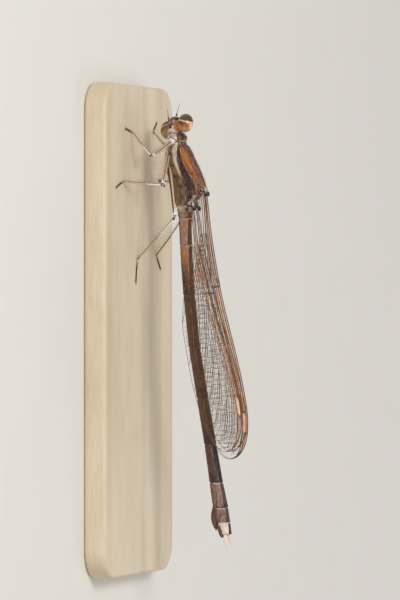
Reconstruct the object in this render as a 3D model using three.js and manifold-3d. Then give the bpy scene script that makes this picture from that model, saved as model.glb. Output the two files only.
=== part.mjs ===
// A female winter damselfly at rest, life size, standing on six legs on a small plain base.
// Millimetres. The head points to -X, the tail to +X, the insect's left side to -Y, and +Z is up.
// The origin is the middle of the underside of the base.
import * as THREE from "three";
import { mergeVertices } from "three/addons/utils/BufferGeometryUtils.js";
import Module from "manifold-3d";

const { degToRad, lerp, clamp, smoothstep } = THREE.MathUtils;
const wasm = await Module();
wasm.setup();

// The base and the gap that is left between neighbouring pieces.
const baseLength = 42;
const baseWidth = 19;
const baseTop = 2;
const baseCorner = 2.5;
const seam = 0.03;

// Head: set on the neck, bowed, rolled about the body's axis, so that the left eye is raised, and then turned
// about the upright axis.
const headPlace = new THREE.Vector3(-17.42, -0.14, 3.34 + baseTop);
const headBow = degToRad(89);
const headRoll = degToRad(50);
const headTurn = degToRad(18);
const eyeApart = 1.34;
const eyeRadii = new THREE.Vector3(0.68, 0.66, 0.82);

// Wings: four flat blades in a stack beside the abdomen, on its left.
const wingThickness = 0.45;
const wingPitch = 0.5;
const foreWing = { length: 23.2, backWidth: 2.35, slope: degToRad(7.5), root: [-12.05, 5.6] };
const hindWing = { length: 21.4, backWidth: 2.05, slope: degToRad(10), root: [-10.75, 4.72] };
const frontWidth = 1.9;
const stalkWidth = 0.6;
const stackShift = -1.64;
const shiftStart = -11.5;
const shiftEnd = -4.2;

// Sections of the body from front to back: [x, middle height over the base, half width, half height].
const prothoraxSections = [
  [-16.95, 3.5, 0.4, 0.42],
  [-16.75, 3.52, 0.66, 0.6],
  [-16.45, 3.55, 0.74, 0.68],
  [-16.12, 3.5, 0.7, 0.66],
];
const thoraxSections = [
  [-16.08, 3.48, 0.62, 0.68],
  [-15.75, 3.42, 0.84, 0.98],
  [-15.41, 3.44, 0.95, 1.18],
  [-14.55, 3.63, 1.04, 1.39],
  [-13.7, 3.86, 1.07, 1.57],
  [-12.67, 4.2, 1.04, 1.65],
  [-12.16, 4.38, 1.0, 1.6],
  [-11.56, 4.31, 0.92, 1.4],
  [-10.87, 4.14, 0.8, 1.06],
  [-10.35, 4.05, 0.66, 0.76],
];
const abdomenSections = [
  [-10.32, 4.05, 0.63, 0.7],
  [-9.6, 4.07, 0.58, 0.58],
  [-8.5, 4.07, 0.55, 0.56],
  [-7.3, 4.12, 0.54, 0.55],
  [-5.2, 4.24, 0.52, 0.545],
  [-3, 4.4, 0.51, 0.53],
  [1.4, 4.86, 0.5, 0.52],
  [5.8, 5.6, 0.5, 0.53],
  [9.76, 6.3, 0.53, 0.55],
  [13, 6.82, 0.6, 0.6],
  [14.2, 7.04, 0.66, 0.66],
  [15.2, 7.22, 0.68, 0.68],
  [16.44, 7.46, 0.62, 0.62],
  [17.47, 7.72, 0.5, 0.5],
];
const segmentEnds = [-10.32, -9.59, -7.28, -3, 1.46, 5.82, 9.76, 13.01, 15.15, 16.44, 17.47];

// Hip, knee, ankle and claw of each leg: [x, y, height over the base].
const legs = {
  front_left: [[-16.2, -0.32, 3.0], [-14.85, -3.0, 1.95], [-16.95, -2.6, 0.25], [-17.15, -4.2, 0.25]],
  front_right: [[-16.2, 0.32, 3.0], [-15.1, 2.9, 2.2], [-17.1, 3.5, 0.25], [-17.9, 4.5, 0.25]],
  middle_left: [[-15.25, -0.42, 2.7], [-12.4, -3.2, 2.95], [-12.65, -5.1, 0.25], [-12.1, -6.8, 0.25]],
  middle_right: [[-15.25, 0.42, 2.7], [-12.6, 3.3, 3.0], [-13.0, 5.1, 0.25], [-12.5, 6.8, 0.25]],
  hind_left: [[-14.3, -0.45, 2.75], [-9.6, -2.5, 3.85], [-6.1, -1.0, 0.25], [-4.1, -1.4, 0.25]],
  hind_right: [[-14.3, 0.45, 2.75], [-9.3, 1.65, 3.1], [-6.5, 4.4, 0.25], [-5.3, 5.6, 0.25]],
};
const hipRadius = 0.34;
const femurRadius = 0.27;
const tibiaRadius = 0.25;
const tarsusRadius = 0.25;
const clawRadius = 0.22;

const finishes = {
  cuticle: { color: 0x6b4a35, roughness: 0.45, metalness: 0.1 },
  paleCuticle: { color: 0xd9c3ab, roughness: 0.5, metalness: 0 },
  eye: { color: 0x8a4a1c, roughness: 0.25, metalness: 0 },
  wing: { color: 0xb59a5c, roughness: 0.3, metalness: 0 },
  leg: { color: 0x8c6b50, roughness: 0.5, metalness: 0 },
  base: { color: 0xcfc8bb, roughness: 0.6, metalness: 0 },
};

const damselfly = new THREE.Group();

function addPiece(name, geometry, finish) {
  const mesh = new THREE.Mesh(geometry, new THREE.MeshStandardMaterial(finishes[finish]));
  mesh.name = name;
  damselfly.add(mesh);
  return mesh;
}

// Closed geometry to a manifold-3d solid, and back.
function toSolid(geometry) {
  const bare = geometry.clone();
  bare.deleteAttribute("normal");
  bare.deleteAttribute("uv");
  const merged = mergeVertices(bare, 1e-4);
  const mesh = new wasm.Mesh({
    numProp: 3,
    vertProperties: new Float32Array(merged.attributes.position.array),
    triVerts: new Uint32Array(merged.index.array),
  });
  return new wasm.Manifold(mesh);
}

function toGeometry(solid) {
  const whole = solid.decompose().sort((a, b) => b.volume() - a.volume())[0];
  const mesh = whole.getMesh();
  const geometry = new THREE.BufferGeometry();
  geometry.setAttribute("position", new THREE.BufferAttribute(new Float32Array(mesh.vertProperties), 3));
  geometry.setIndex(new THREE.BufferAttribute(new Uint32Array(mesh.triVerts), 1));
  geometry.computeVertexNormals();
  return geometry;
}

function cutAway(geometry, ...others) {
  const rest = others.reduce((left, other) => left.subtract(toSolid(other)), toSolid(geometry));
  return toGeometry(rest);
}

function joined(first, ...others) {
  return toGeometry(others.reduce((sum, other) => sum.add(toSolid(other)), toSolid(first)));
}

// Moves every vertex of a geometry by a function of its place.
function reshape(geometry, place) {
  const at = geometry.attributes.position;
  const point = new THREE.Vector3();
  for (let i = 0; i < at.count; i += 1) {
    point.fromBufferAttribute(at, i);
    place(point);
    at.setXYZ(i, point.x, point.y, point.z);
  }
  return geometry;
}

// One row of a section table at any x, eased between its rows.
function sectionAt(sections, x) {
  const last = sections.length - 1;
  let i = 0;
  while (i < last - 1 && sections[i + 1][0] < x) i += 1;
  const [from, to] = [sections[i], sections[i + 1]];
  const t = clamp((x - from[0]) / (to[0] - from[0]), 0, 1);
  return from.map((value, k) => lerp(value, to[k], t));
}

// A barrel of the body between two x, as a cylinder whose rings follow the section table.
function bodyLength(sections, start, end, sides, rings, grow = 0) {
  const cylinder = new THREE.CylinderGeometry(1, 1, 1, sides, rings);
  return reshape(cylinder, (p) => {
    const x = lerp(start, end, 0.5 - p.y);
    const [, height, halfWidth, halfHeight] = sectionAt(sections, x);
    p.set(x, p.x * (halfWidth + grow), height + baseTop + p.z * (halfHeight + grow));
  });
}

// A tapered tube between two points with rounded ends, flattened where it would go below the lowest height.
function limb(from, to, radiusFrom, radiusTo, rings = 4, lowest = baseTop) {
  const cylinder = new THREE.CylinderGeometry(1, 1, 1, 8, rings);
  const along = new THREE.Vector3().subVectors(to, from);
  const upright = new THREE.Vector3(0, 1, 0);
  const turn = new THREE.Quaternion().setFromUnitVectors(upright, along.clone().normalize());
  return reshape(cylinder, (p) => {
    const t = p.y + 0.5;
    const endRound = Math.sin(Math.PI * clamp(Math.min(t, 1 - t) * rings, 0.35, 0.5));
    const radius = lerp(radiusFrom, radiusTo, t) * endRound;
    p.set(p.x * radius, 0, p.z * radius).applyQuaternion(turn);
    p.addScaledVector(along, t).add(from);
    p.z = Math.max(p.z, lowest);
  });
}

function ellipsoid(place, radii, across = 16, down = 12) {
  const ball = new THREE.SphereGeometry(1, across, down).scale(radii.x, radii.y, radii.z);
  return ball.translate(place.x, place.y, place.z);
}

// Base
{
  const outline = new THREE.Shape();
  const [x, y] = [baseLength / 2, baseWidth / 2];
  outline.moveTo(-x + baseCorner, -y);
  outline.lineTo(x - baseCorner, -y);
  outline.absarc(x - baseCorner, -y + baseCorner, baseCorner, -Math.PI / 2, 0);
  outline.lineTo(x, y - baseCorner);
  outline.absarc(x - baseCorner, y - baseCorner, baseCorner, 0, Math.PI / 2);
  outline.lineTo(-x + baseCorner, y);
  outline.absarc(-x + baseCorner, y - baseCorner, baseCorner, Math.PI / 2, Math.PI);
  outline.lineTo(-x, -y + baseCorner);
  outline.absarc(-x + baseCorner, -y + baseCorner, baseCorner, Math.PI, 1.5 * Math.PI);
  const flat = { depth: baseTop, bevelEnabled: false, curveSegments: 6 };
  addPiece("stand_base", new THREE.ExtrudeGeometry(outline, flat), "base");
}

// Thorax and abdomen
const thoraxStart = thoraxSections[0][0];
const thoraxEnd = thoraxSections.at(-1)[0];
const thorax = bodyLength(thoraxSections, thoraxStart, thoraxEnd, 24, 14);
const thoraxCutter = bodyLength(thoraxSections, thoraxStart - seam, thoraxEnd + seam, 24, 14, seam);
const neckEnd = prothoraxSections[0][0];
const waist = prothoraxSections.at(-1)[0];
const prothorax = bodyLength(prothoraxSections, neckEnd, waist, 20, 4);
const prothoraxCutter = bodyLength(prothoraxSections, neckEnd - seam, waist + seam, 20, 4, seam);
addPiece("thorax", thorax, "cuticle");
addPiece("prothorax", prothorax, "cuticle");

for (let i = 0; i < segmentEnds.length - 1; i += 1) {
  const [start, end] = [segmentEnds[i], segmentEnds[i + 1]];
  const rings = end - start > 2.5 ? 4 : 2;
  addPiece(`abdomen_${i + 1}`, bodyLength(abdomenSections, start, end - seam, 16, rings), "cuticle");
}

// Egg-laying blades under the tail, and the two pale claspers on its end
const bladeFrom = new THREE.Vector3(14.9, 0, 6.72 + baseTop);
const bladeTo = new THREE.Vector3(17.1, 0, 6.98 + baseTop);
const tail = bodyLength(abdomenSections, 14, segmentEnds.at(-1), 16, 6, seam);
addPiece("ovipositor", cutAway(limb(bladeFrom, bladeTo, 0.4, 0.3, 6), tail), "cuticle");
for (const [side, from, to] of [
  ["left", [17.5, -0.25, 7.62], [18.66, -0.35, 7.87]],
  ["right", [17.5, 0.25, 7.88], [18.5, 0.35, 8.13]],
]) {
  const [start, end] = [from, to].map(([x, y, height]) => new THREE.Vector3(x, y, height + baseTop));
  addPiece(`cercus_${side}`, limb(start, end, 0.25, 0.2, 4), "paleCuticle");
}

// Head, built level round its own middle and then rolled into place
function inHeadPlace(geometry) {
  geometry.rotateY(-headBow).rotateX(-headRoll).rotateZ(-headTurn);
  return geometry.translate(headPlace.x, headPlace.y, headPlace.z);
}

const spot = (x, y, z) => new THREE.Vector3(x, y, z);
const eyes = [["left", -1], ["right", 1]].map(([side, way]) => ({
  side,
  way,
  shape: ellipsoid(spot(0, way * eyeApart, 0.02), eyeRadii),
  cutter: ellipsoid(spot(0, way * eyeApart, 0.02), eyeRadii.clone().addScalar(seam)),
}));
const capsule = joined(
  ellipsoid(spot(0, 0, 0.08), spot(0.56, 1.44, 0.6), 20, 12),
  ellipsoid(spot(-0.3, 0, 0.16), spot(0.54, 0.82, 0.62)),
  ellipsoid(spot(-0.38, 0, -0.3), spot(0.48, 0.66, 0.5)),
);
const lip = ellipsoid(spot(-0.4, 0, -0.76), spot(0.4, 0.48, 0.36), 12, 8);
const lipCutter = ellipsoid(spot(-0.4, 0, -0.76), spot(0.43, 0.51, 0.39), 12, 8);
const neck = limb(spot(-17.2, 0.3, 3.8 + baseTop), spot(-16.55, 0.05, 3.5 + baseTop), 0.36, 0.36, 4);
const headShape = cutAway(capsule, ...eyes.map((eye) => eye.cutter), lipCutter);
const headWhole = inHeadPlace(headShape);
const lipInPlace = inHeadPlace(lip);
addPiece("head", cutAway(headWhole, prothoraxCutter), "cuticle");
addPiece("neck", cutAway(neck, headWhole, prothoraxCutter, lipInPlace), "paleCuticle");
addPiece("mouthparts", cutAway(lipInPlace, prothoraxCutter), "paleCuticle");
for (const { side, shape } of eyes) {
  addPiece(`eye_${side}`, cutAway(inHeadPlace(shape), prothoraxCutter), "eye");
}
for (const { side, way, cutter } of eyes) {
  const root = spot(-0.5, way * 0.62, 0.5);
  const tip = spot(-0.56, way * 0.98, 1.7);
  const feeler = limb(root, tip, 0.25, 0.22, 5, -headPlace.z);
  addPiece(`antenna_${side}`, cutAway(inHeadPlace(feeler), headWhole, inHeadPlace(cutter)), "leg");
}

// Legs
for (const [name, joints] of Object.entries(legs)) {
  const [hip, knee, ankle, claw] = joints.map(([x, y, height]) => spot(x, y, height + baseTop));
  const femur = limb(hip, knee, hipRadius, femurRadius);
  const femurCutter = limb(hip, knee, hipRadius + seam, femurRadius + seam);
  const tibia = limb(knee, ankle, tibiaRadius, tibiaRadius);
  const tibiaCutter = limb(knee, ankle, tibiaRadius + seam, tibiaRadius + seam);
  const tarsus = limb(ankle, claw, tarsusRadius, clawRadius);
  addPiece(`leg_${name}_femur`, cutAway(femur, thoraxCutter, prothoraxCutter), "leg");
  addPiece(`leg_${name}_tibia`, cutAway(tibia, femurCutter), "leg");
  addPiece(`leg_${name}_tarsus`, cutAway(tarsus, tibiaCutter), "leg");
}

// Wings: a thin box whose long edges follow the front and hind margin. The stack leans over to the left
// behind the thorax, where it passes the abdomen.
function margins(share, backWidth) {
  const stalk = stalkWidth / 2;
  const front = stalk + (frontWidth - stalk) * smoothstep(share, 0.1, 0.85);
  const back = stalk + (backWidth - stalk) * smoothstep(share, 0.12, 0.52);
  const frontRound = Math.sqrt(1 - Math.max(0, (share - 0.81) / 0.19) ** 2.5);
  const backRound = Math.sqrt(1 - Math.max(0, (share - 0.63) / 0.37) ** 2);
  return { front: front * frontRound, back: back * backRound };
}

function wing({ length, backWidth, slope, root }, layer) {
  const blade = new THREE.BoxGeometry(1, 1, 1, 28, 2, 1);
  return reshape(blade, (p) => {
    const share = 0.5 * (p.x + 0.5) + 0.4975 * Math.sin((p.x + 0.5) * Math.PI * 0.5);
    const { front, back } = margins(share, backWidth);
    const across = lerp(-back, front, p.y + 0.5);
    const x = root[0] + length * share * Math.cos(slope) - across * Math.sin(slope);
    const z = root[1] + baseTop + length * share * Math.sin(slope) + across * Math.cos(slope);
    const shift = stackShift * smoothstep(x, shiftStart, shiftEnd);
    p.set(x, layer + shift - p.z * wingThickness, z);
  });
}

const wings = [
  ["hindwing_left", hindWing, -1.5],
  ["forewing_left", foreWing, -0.5],
  ["forewing_right", foreWing, 0.5],
  ["hindwing_right", hindWing, 1.5],
];
const firstSegments = bodyLength(abdomenSections, segmentEnds[0], 0, 16, 12, seam);
for (const [name, kind, place] of wings) {
  const blade = wing(kind, place * wingPitch);
  addPiece(name, cutAway(blade, thoraxCutter, firstSegments), "wing");
}

export default damselfly;
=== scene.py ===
import math

import bmesh
import bpy
import numpy as np
from mathutils import Matrix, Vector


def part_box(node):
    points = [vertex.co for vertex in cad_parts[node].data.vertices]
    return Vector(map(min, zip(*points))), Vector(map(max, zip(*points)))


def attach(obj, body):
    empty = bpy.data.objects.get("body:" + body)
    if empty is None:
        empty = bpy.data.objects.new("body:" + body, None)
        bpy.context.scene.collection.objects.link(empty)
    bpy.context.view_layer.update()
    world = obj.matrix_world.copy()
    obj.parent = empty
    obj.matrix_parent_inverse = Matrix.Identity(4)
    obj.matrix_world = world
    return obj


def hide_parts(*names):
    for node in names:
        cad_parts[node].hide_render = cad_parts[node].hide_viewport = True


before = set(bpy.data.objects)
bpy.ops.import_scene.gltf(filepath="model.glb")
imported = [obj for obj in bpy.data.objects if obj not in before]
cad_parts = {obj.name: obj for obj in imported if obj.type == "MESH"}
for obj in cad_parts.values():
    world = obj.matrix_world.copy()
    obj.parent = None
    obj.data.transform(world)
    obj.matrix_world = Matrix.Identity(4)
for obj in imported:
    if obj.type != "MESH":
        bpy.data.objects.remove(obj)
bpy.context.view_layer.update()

# A winter damselfly, life size, on a small base. Shapes are worked out in millimetres:
# head to -X, tail to +X, the insect's left side to -Y, +Z up.
mm = 0.001
scene = bpy.context.scene
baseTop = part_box("stand_base")[1].z / mm
sides = {"left": -1, "right": 1}


def nodePoints(*nodes):
    # every corner of some CAD nodes, in millimetres
    return np.array([v.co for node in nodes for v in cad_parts[node].data.vertices]) / mm


def boxOf(node):
    return [np.array(corner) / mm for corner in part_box(node)]


def middleOf(node):
    low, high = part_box(node)
    return np.array((low + high) / 2) / mm


def unit(way):
    way = np.asarray(way, float)
    return way / np.maximum(np.linalg.norm(way, axis=-1, keepdims=True), 1e-9)


def ease(value, low, high):
    t = np.clip((np.asarray(value, float) - low) / (high - low), 0, 1)
    return t * t * (3 - 2 * t)


def band(value, low, high, soft):
    # 1 between low and high, 0 outside, with the edges this soft
    return ease(value, low - soft, low + soft) * (1 - ease(value, high - soft, high + soft))


def bell(value, middle, width):
    return np.exp(-(((np.asarray(value, float) - middle) / width) ** 2))


def rgb(red, green, blue):
    # a colour as the screen shows it, as the linear values that shaders take
    values = [c / 255 for c in (red, green, blue)]
    return [c / 12.92 if c < 0.04 else ((c + 0.055) / 1.055) ** 2.4 for c in values] + [1]


# Meshes

def keep(piece, slot, *nodes):
    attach(piece, "root")
    if nodes:
        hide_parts(*nodes)
    return piece


def addMesh(name, points, faces, material, masks=None, edges=()):
    mesh = bpy.data.meshes.new(name)
    mesh.from_pydata((np.asarray(points, float) * mm).tolist(), list(edges), faces)
    if faces:
        work = bmesh.new()
        work.from_mesh(mesh)
        bmesh.ops.recalc_face_normals(work, faces=work.faces)
        work.to_mesh(mesh)
        work.free()
        mesh.shade_smooth()
    mesh.materials.append(material)
    for mask, values in (masks or {}).items():
        values = np.asarray(values, float)
        kind = "FLOAT" if values.ndim == 1 else "FLOAT_VECTOR"
        store = mesh.attributes.new(mask, kind, "POINT")
        store.data.foreach_set("value" if values.ndim == 1 else "vector", values.ravel())
    piece = bpy.data.objects.new(name, mesh)
    scene.collection.objects.link(piece)
    return piece


def ringFaces(count, around):
    # four-cornered faces between rings of points, and a fan on each end
    faces = []
    last = (count - 1) * around
    for i in range(count - 1):
        for j in range(around):
            a, b = i * around + j, i * around + (j + 1) % around
            faces.append((a, b, b + around, a + around))
    for j in range(around):
        k = (j + 1) % around
        faces += [(count * around, k, j), (count * around + 1, last + j, last + k)]
    return faces


def addLoft(name, rings, material, masks=None):
    # rings: (count, around, 3). A mask has a value for each ring, or for each point of the rings
    count, around = rings.shape[:2]
    points = np.vstack([rings.reshape(-1, 3), rings[0].mean(0), rings[-1].mean(0)])
    full = {}
    for mask, values in (masks or {}).items():
        values = np.clip(np.asarray(values, float), 0, 1)
        values = np.broadcast_to(values[:, None] if values.ndim == 1 else values, (count, around))
        full[mask] = np.concatenate([values.ravel(), [values[0].mean(), values[-1].mean()]])
    return addMesh(name, points, ringFaces(count, around), material, full)


def pathAt(points, count):
    # evenly spaced places on a smooth curve through the points
    points = np.asarray(points, float)
    ends = np.vstack([2 * points[0] - points[1], points, 2 * points[-1] - points[-2]])
    fine = []
    for a, b, c, d in zip(ends, ends[1:], ends[2:], ends[3:]):
        for t in np.linspace(0, 1, 24, endpoint=False):
            fine.append(0.5 * (2 * b + (c - a) * t + (2 * a - 5 * b + 4 * c - d) * t**2
                               + (3 * b - a - 3 * c + d) * t**3))
    fine = np.array(fine + [points[-1]])
    run = np.concatenate([[0], np.cumsum(np.linalg.norm(np.diff(fine, axis=0), axis=1))])
    want = np.linspace(0, run[-1], count)
    return np.stack([np.interp(want, run, fine[:, k]) for k in range(3)], 1)


def tubeRings(path, radii, around=14, flat=1.0, up=(0, 0, 1)):
    # flat squeezes the rings along up
    way = unit(np.gradient(path, axis=0))
    side = unit(np.cross(way, up))
    lift = np.cross(side, way)
    turn = np.linspace(0, 2 * math.pi, around, endpoint=False)
    radii = np.broadcast_to(radii, len(path))[:, None, None]
    wide = side[:, None] * np.cos(turn)[None, :, None]
    high = lift[:, None] * np.sin(turn)[None, :, None] * flat
    return path[:, None] + radii * (wide + high)


def addTube(name, points, radii, material, masks=None, around=14, flat=1.0, up=(0, 0, 1)):
    # a closed tube on the smooth curve through the points, with a ring for each radius
    return addLoft(name, tubeRings(pathAt(points, len(radii)), radii, around, flat, up), material, masks)


def blobPoints(ways, lumps, blend=16):
    # where each direction from the middle leaves a group of rounded lumps, eased where they meet
    total = np.zeros(len(ways))
    for centre, radii in lumps:
        c, d = np.array(centre) / radii, ways / radii
        a, b = (d * d).sum(1), d @ c
        inside = b * b - a * ((c * c).sum() - 1)
        reach = np.where(inside > 0, (b + np.sqrt(np.maximum(inside, 0))) / a, 0)
        total += np.exp(blend * np.maximum(reach, 0))
    return ways * (np.log(total - len(lumps) + 1) / blend)[:, None]


def ballWays(detail):
    ball = bmesh.new()
    bmesh.ops.create_icosphere(ball, subdivisions=detail, radius=1)
    ways = np.array([v.co for v in ball.verts])
    faces = [[v.index for v in face.verts] for face in ball.faces]
    ball.free()
    return unit(ways), faces


def addBlob(name, lumps, material, masks=None, place=(0, 0, 0), turn=np.eye(3), detail=5, blend=16,
            dents=None):
    # lumps: (middle, radii) round the blob's own origin. masks and dents are functions of its points
    ways, faces = ballWays(detail)
    points = blobPoints(ways, lumps, blend)
    if dents:
        points = points - ways * dents(points)[:, None]
    values = masks(points) if masks else {}
    return addMesh(name, np.array(place) + points @ np.array(turn).T, faces, material, values)


# Materials

def newMaterial(name):
    material = bpy.data.materials.new(name)
    material.use_nodes = True
    return material, material.node_tree, material.node_tree.nodes["Principled BSDF"]


def addNode(tree, kind, inputs=(), **settings):
    node = tree.nodes.new(kind)
    for key, value in settings.items():
        setattr(node, key, value)
    for key, value in dict(inputs).items():
        if isinstance(value, bpy.types.NodeSocket):
            tree.links.new(value, node.inputs[key])
        else:
            node.inputs[key].default_value = value
    return node


def noiseOf(tree, size, detail=4, stretch=(1, 1, 1)):
    # grain of about this size in millimetres, on the piece's own coordinates
    place = addNode(tree, "ShaderNodeTexCoord").outputs["Object"]
    scaled = addNode(tree, "ShaderNodeMapping", {"Vector": place, "Scale": [1000 / s for s in stretch]})
    grain = {"Vector": scaled.outputs[0], "Scale": 1 / size, "Detail": detail, "Roughness": 0.6}
    return addNode(tree, "ShaderNodeTexNoise", grain).outputs["Fac"]


def mathOf(tree, operation, first, second=0.0):
    return addNode(tree, "ShaderNodeMath", {0: first, 1: second}, operation=operation).outputs[0]


def rangeOf(tree, value, low, high, to=(0, 1)):
    inputs = {"Value": value, "From Min": low, "From Max": high, "To Min": to[0], "To Max": to[1]}
    return addNode(tree, "ShaderNodeMapRange", inputs).outputs["Result"]


def mixOf(tree, factor, first, second):
    inputs = {0: factor, 6: first, 7: second}
    return addNode(tree, "ShaderNodeMix", inputs, data_type="RGBA").outputs[2]


def maskOf(tree, name, grain, ragged):
    # a mask painted on the mesh, its edge roughened by the grain
    mask = addNode(tree, "ShaderNodeAttribute", attribute_name=name).outputs["Fac"]
    if not ragged:
        return mask
    shaken = mathOf(tree, "MULTIPLY_ADD", grain, ragged)
    shaken.node.inputs[2].default_value = -ragged / 2
    return rangeOf(tree, mathOf(tree, "ADD", mask, shaken), 0.3, 0.7)


def addBump(tree, shader, height, strength, depth, **settings):
    bump = {"Height": height, "Strength": strength, "Distance": depth * mm}
    tree.links.new(addNode(tree, "ShaderNodeBump", bump, **settings).outputs[0], shader.inputs["Normal"])


def shellMaterial(name, look):
    # ground colours mottled together, painted layers over them, a fine bump and an uneven gloss.
    # layers: how ragged the edge of each painted mask is. Its colour is the look's value of that name
    material, tree, shader = newMaterial(name)
    grain = noiseOf(tree, look["grain"], 5, look.get("stretch", (1, 1, 1)))
    wide = noiseOf(tree, look["grain"] * 5, 2)
    colour = mixOf(tree, rangeOf(tree, grain, 0.35, 0.65), look["shade"], look["ground"])
    for mask, ragged in look.get("layers", {}).items():
        dull = [c * look.get("mottle", 0.72) for c in look[mask][:3]] + [1]
        mottled = mixOf(tree, rangeOf(tree, grain, 0.3, 0.6), dull, look[mask])
        colour = mixOf(tree, maskOf(tree, mask, grain, ragged), colour, mottled)
    tree.links.new(colour, shader.inputs["Base Color"])
    tree.links.new(rangeOf(tree, wide, 0.3, 0.7, look["rough"]), shader.inputs["Roughness"])
    addBump(tree, shader, noiseOf(tree, look["bumpSize"], 3), look["bump"], look["bumpSize"])
    shader.inputs["Coat Weight"].default_value = look.get("coat", 0.0)
    shader.inputs["Coat Roughness"].default_value = 0.25
    shader.inputs["Specular IOR Level"].default_value = look.get("specular", 0.5)
    return material


# Geometry Nodes

def nodeTree(name, sockets):
    tree = bpy.data.node_groups.new(name, "GeometryNodeTree")
    tree.interface.new_socket("Geometry", in_out="INPUT", socket_type="NodeSocketGeometry")
    for label, kind, value in sockets:
        socket = tree.interface.new_socket(label, in_out="INPUT", socket_type="NodeSocket" + kind)
        if value is not None:
            socket.default_value = value
    tree.interface.new_socket("Geometry", in_out="OUTPUT", socket_type="NodeSocketGeometry")
    return tree, tree.nodes.new("NodeGroupInput").outputs, tree.nodes.new("NodeGroupOutput")


def applyTree(piece, tree, settings):
    # runs the tree on the piece and leaves a plain mesh
    modifier = piece.modifiers.new(tree.name, "NODES")
    modifier.node_group = tree
    for item in tree.interface.items_tree:
        if item.in_out == "INPUT" and item.name in settings:
            modifier[item.identifier] = settings[item.name]
    made = piece.evaluated_get(bpy.context.evaluated_depsgraph_get())
    mesh = bpy.data.meshes.new_from_object(made)
    piece.modifiers.remove(modifier)
    piece.data = mesh
    mesh.shade_smooth()
    return piece


def namedValue(tree, name, kind="FLOAT"):
    return addNode(tree, "GeometryNodeInputNamedAttribute", {"Name": name}, data_type=kind).outputs[0]


def bristleTree():
    # one thin tapering hair on each point, along its way, bent by its lean
    tree, given, result = nodeTree("bristles", [
        ("Thickness", "Float", 0.00002),
        ("Bend", "Float", 0.3),
        ("Patch", "Float", 0.003),
        ("Seed", "Int", 1),
        ("Material", "Material", None),
    ])
    roots = addNode(tree, "GeometryNodeMeshToPoints", {"Mesh": given["Geometry"]})
    cone = addNode(tree, "GeometryNodeMeshCone", {
        "Vertices": 4, "Side Segments": 3, "Radius Top": 0.12, "Radius Bottom": 1.0, "Depth": 1.0})
    patch = addNode(tree, "GeometryNodeStoreNamedAttribute", {
        "Geometry": cone.outputs["Mesh"], "Name": "patch", "Value": cone.outputs["UV Map"]},
        data_type="FLOAT2", domain="CORNER")
    place = addNode(tree, "GeometryNodeInputPosition").outputs[0]
    height = addNode(tree, "ShaderNodeSeparateXYZ", {0: place})
    rise = addNode(tree, "GeometryNodeStoreNamedAttribute", {
        "Geometry": patch.outputs[0], "Name": "rise", "Value": height.outputs["Z"]},
        data_type="FLOAT", domain="POINT")
    align = addNode(tree, "FunctionNodeAlignRotationToVector", {
        "Vector": namedValue(tree, "way", "FLOAT_VECTOR")}, axis="Z")
    spread = addNode(tree, "FunctionNodeRandomValue", {
        "Seed": given["Seed"], 2: 0.75, 3: 1.2}, data_type="FLOAT")
    length = mathOf(tree, "MULTIPLY", spread.outputs[1], namedValue(tree, "long"))
    scale = addNode(tree, "ShaderNodeCombineXYZ", {0: given["Thickness"], 1: given["Thickness"], 2: length})
    copies = addNode(tree, "GeometryNodeInstanceOnPoints", {
        "Points": roots.outputs[0], "Instance": rise.outputs[0],
        "Rotation": align.outputs[0], "Scale": scale.outputs[0]})
    real = addNode(tree, "GeometryNodeRealizeInstances", {0: copies.outputs[0]})
    share = namedValue(tree, "rise")
    curl = mathOf(tree, "MULTIPLY", mathOf(tree, "MULTIPLY", share, share), namedValue(tree, "long"))
    amount = mathOf(tree, "MULTIPLY", curl, given["Bend"])
    lean = namedValue(tree, "lean", "FLOAT_VECTOR")
    shift = addNode(tree, "ShaderNodeVectorMath", {0: lean, "Scale": amount}, operation="SCALE")
    bent = addNode(tree, "GeometryNodeSetPosition", {
        "Geometry": real.outputs[0], "Offset": shift.outputs[0]})
    small = addNode(tree, "ShaderNodeVectorMath", {
        0: namedValue(tree, "patch", "FLOAT_VECTOR"), "Scale": given["Patch"]}, operation="SCALE")
    root = namedValue(tree, "rootPlace", "FLOAT_VECTOR")
    place = addNode(tree, "ShaderNodeVectorMath", {0: root, 1: small.outputs[0]}, operation="ADD")
    mapped = addNode(tree, "GeometryNodeStoreNamedAttribute", {
        "Geometry": bent.outputs[0], "Name": "OFBake", "Value": place.outputs[0]},
        data_type="FLOAT2", domain="CORNER")
    done = addNode(tree, "GeometryNodeSetMaterial", {
        "Geometry": mapped.outputs[0], "Material": given["Material"]})
    tree.links.new(done.outputs[0], result.inputs[0])
    return tree


def veinTree():
    # a round rod along every edge, as thick as its points say
    tree, given, result = nodeTree("veins", [
        ("Sides", "Int", 5),
        ("Material", "Material", None),
    ])
    lines = addNode(tree, "GeometryNodeMeshToCurve", {"Mesh": given["Geometry"]})
    ring = addNode(tree, "GeometryNodeCurvePrimitiveCircle", {"Resolution": given["Sides"], "Radius": 1.0})
    rods = addNode(tree, "GeometryNodeCurveToMesh", {
        "Curve": lines.outputs[0], "Profile Curve": ring.outputs[0], "Scale": namedValue(tree, "thick"),
        "Fill Caps": True})
    real = addNode(tree, "GeometryNodeRealizeInstances", {0: rods.outputs[0]})
    done = addNode(tree, "GeometryNodeSetMaterial", {
        "Geometry": real.outputs[0], "Material": given["Material"]})
    tree.links.new(done.outputs[0], result.inputs[0])
    return tree


bristles = bristleTree()
veins = veinTree()
patchSize = 0.003       # side of a bristle's place on its skin's unwrap


def addBristles(name, roots, material, thickness, bend, seed):
    # roots: rows of place, way, lean, length and place on the skin's unwrap, all in millimetres
    places, ways, leans, lengths, maps = zip(*roots)
    lengths, maps = np.array(lengths) * mm, [(*spot, 0) for spot in maps]
    values = {"way": ways, "lean": leans, "long": lengths, "rootPlace": maps}
    return applyTree(addMesh(name, places, [], material, values), bristles, {
        "Thickness": thickness * mm, "Bend": bend, "Patch": patchSize, "Seed": seed, "Material": material})


print("helpers and node trees ready")

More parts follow.
